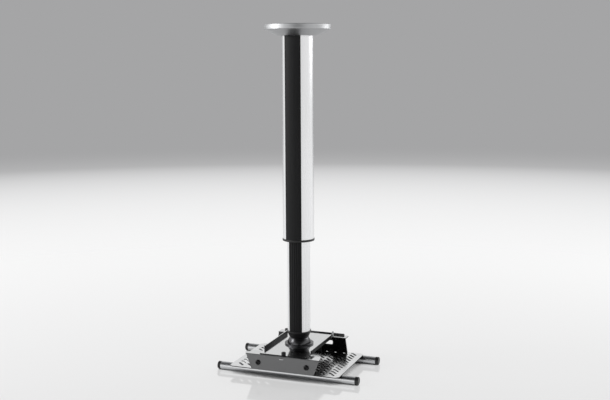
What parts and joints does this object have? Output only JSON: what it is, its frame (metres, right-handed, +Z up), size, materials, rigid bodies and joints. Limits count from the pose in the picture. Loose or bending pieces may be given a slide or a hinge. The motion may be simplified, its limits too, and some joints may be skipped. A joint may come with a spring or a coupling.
{
  "type": "projector ceiling mount",
  "caption": "Telescopic ceiling mount for a projector: round column with inlaid strips, ceiling cup, ball joint, and a slotted carrier plate on two tubular rails.",
  "frame": {"origin": "on the column's axis, at the surface the two rails stand on", "axes": "+Z up along the column, +X along the rails, -Y towards the front bracket and the ribbed front strip"},
  "size_m": [0.2868, 0.1794, 0.6604],
  "materials": {
    "brushed_aluminium": "brushed",
    "anodised_aluminium": "satin anodised",
    "black_strip": "satin",
    "black_plastic": "satin",
    "white_acetal": "satin",
    "satin_nickel": "satin",
    "satin_sheet": "satin",
    "bracket_steel": "satin",
    "plated_steel": "zinc plated",
    "black_screws": "black oxide"
  },
  "bodies": {
    "ceiling_side": {"ceiling_plate": "plated_steel", "column_socket": "plated_steel", "flange_screws": "black_screws", "socket_screws": "black_screws", "outer_column": "anodised_aluminium", "outer_front_strip": "black_strip", "outer_rear_strip": "black_strip", "trim_ring": "black_plastic", "locking_screws": "black_screws"},
    "cover": {"ceiling_cover": "brushed_aluminium"},
    "inner_side": {"inner_column": "anodised_aluminium", "inner_front_strip": "black_strip", "inner_rear_strip": "black_strip", "glide_shoe": "white_acetal", "lower_collar": "black_plastic", "collar_set_screw": "black_screws"},
    "ball": {"ball_stud": "plated_steel", "stud_washer": "plated_steel", "stud_nut": "plated_steel"},
    "liner": {"socket_liner": "white_acetal"},
    "carrier": {"upper_housing": "satin_nickel", "lower_housing": "satin_nickel", "housing_screws": "black_screws", "tray": "satin_sheet", "tray_lock_screw": "black_screws", "tray_lock_nut": "plated_steel", "locating_pins": "plated_steel", "front_bracket": "bracket_steel", "bracket_screws": "black_screws", "bracket_nuts": "plated_steel", "rear_bracket": "bracket_steel", "slotted_plate": "satin_sheet", "front_rail": "anodised_aluminium", "rear_rail": "anodised_aluminium", "front_left_cap": "black_plastic", "front_right_cap": "black_plastic", "rear_left_cap": "black_plastic", "rear_right_cap": "black_plastic", "rail_screws": "black_screws"}
  },
  "joints": [
    {"name": "cover_slide", "type": "slide", "parent": "ceiling_side", "child": "cover", "axis": [0, 0, -1], "range_m": [0, 0.12]},
    {"name": "telescope", "type": "slide", "parent": "ceiling_side", "child": "inner_side", "axis": [0, 0, 1], "range_m": [-0.1, 0.14]},
    {"name": "swivel", "type": "hinge", "parent": "inner_side", "child": "ball", "pos_m": [0, 0, 0.046], "axis": [0, 0, 1], "continuous": true},
    {"name": "roll", "type": "hinge", "parent": "ball", "child": "liner", "pos_m": [0, 0, 0.046], "axis": [0, 1, 0], "range_deg": [-15, 15]},
    {"name": "tilt", "type": "hinge", "parent": "liner", "child": "carrier", "pos_m": [0, 0, 0.046], "axis": [1, 0, 0], "range_deg": [-15, 15]}
  ]
}
